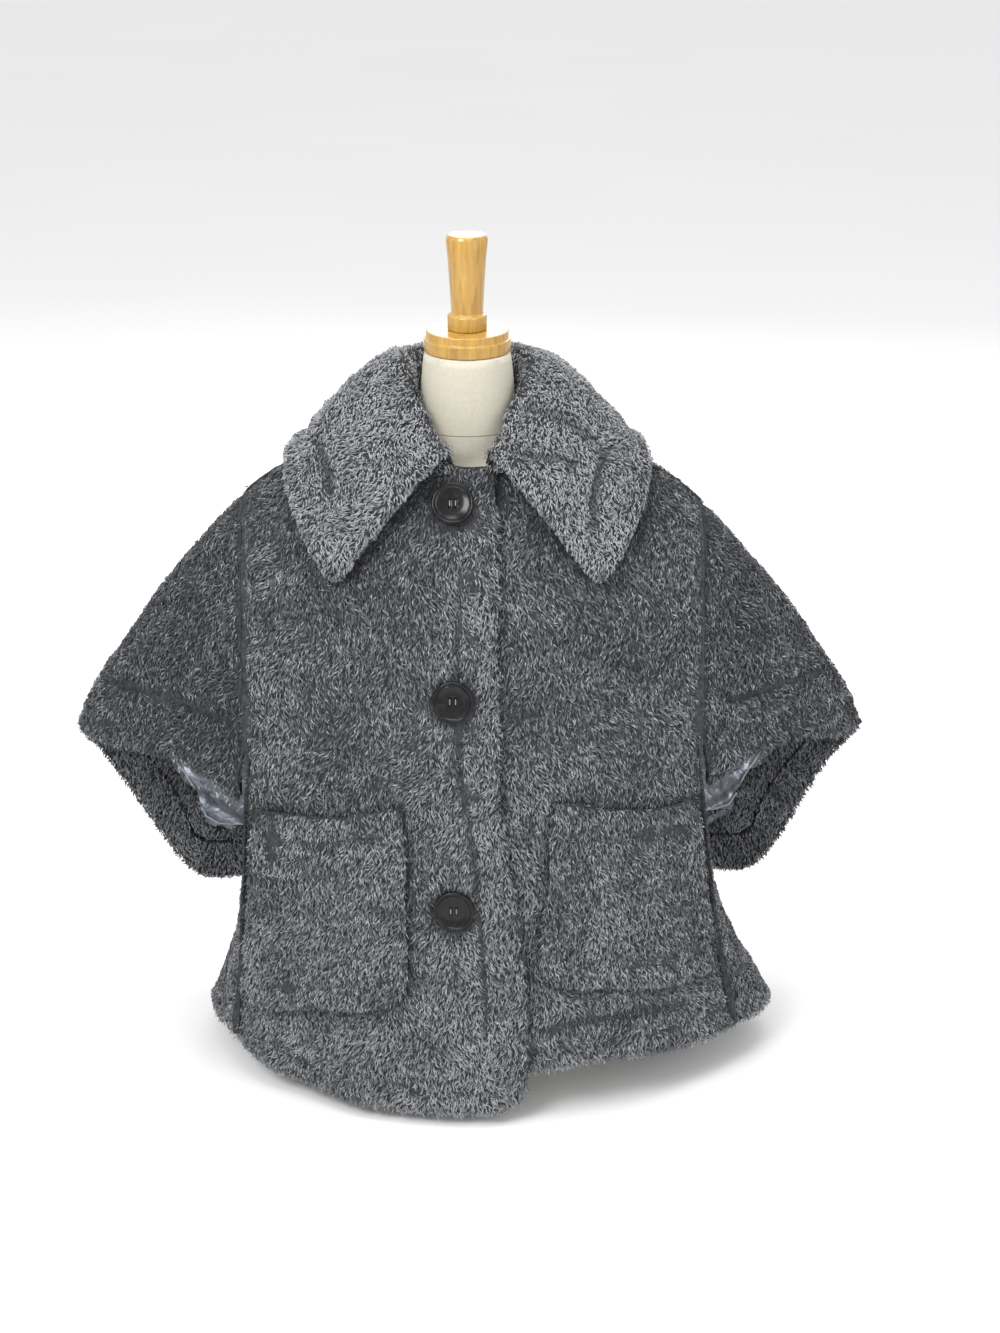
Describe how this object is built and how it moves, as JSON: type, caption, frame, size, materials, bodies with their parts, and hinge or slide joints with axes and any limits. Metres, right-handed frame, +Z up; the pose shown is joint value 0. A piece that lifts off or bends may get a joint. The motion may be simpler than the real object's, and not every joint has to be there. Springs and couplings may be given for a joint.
{
  "type": "poncho coat on a dress form",
  "caption": "Short shaggy grey poncho coat with cape sleeves, wide collar, patch pockets and button front, hanging open at the hem on a limbless dress form with a turned wooden neck cap.",
  "frame": {"origin": "middle of the form's flat base, on the floor", "axes": "+Z up, -Y the front of the coat, +X the wearer's left"},
  "size_m": [0.8698, 0.417, 0.929],
  "materials": {
    "grey_pile": "shaggy long pile, mixed grey",
    "grey_pile_sleeve": "shaggy long pile, mixed grey, a little darker",
    "slate_satin": "satin",
    "dark_horn": "polished, marbled dark grey",
    "cream_linen": "plain weave",
    "honey_wood": "satin varnish"
  },
  "bodies": {
    "root": {"back": "grey_pile", "front_right": "grey_pile", "front_left": "grey_pile", "collar": "grey_pile", "pocket_right": "grey_pile", "pocket_left": "grey_pile", "sleeve_right": "grey_pile_sleeve", "sleeve_left": "grey_pile_sleeve", "sleeve_facing_right": "grey_pile_sleeve", "sleeve_facing_left": "grey_pile_sleeve", "sleeve_lining_right": "slate_satin", "sleeve_lining_left": "slate_satin", "button_top": "dark_horn", "button_middle": "dark_horn", "button_bottom": "dark_horn", "form_torso": "cream_linen", "neck_disc": "honey_wood", "neck_knob": "honey_wood"}
  },
  "joints": []
}
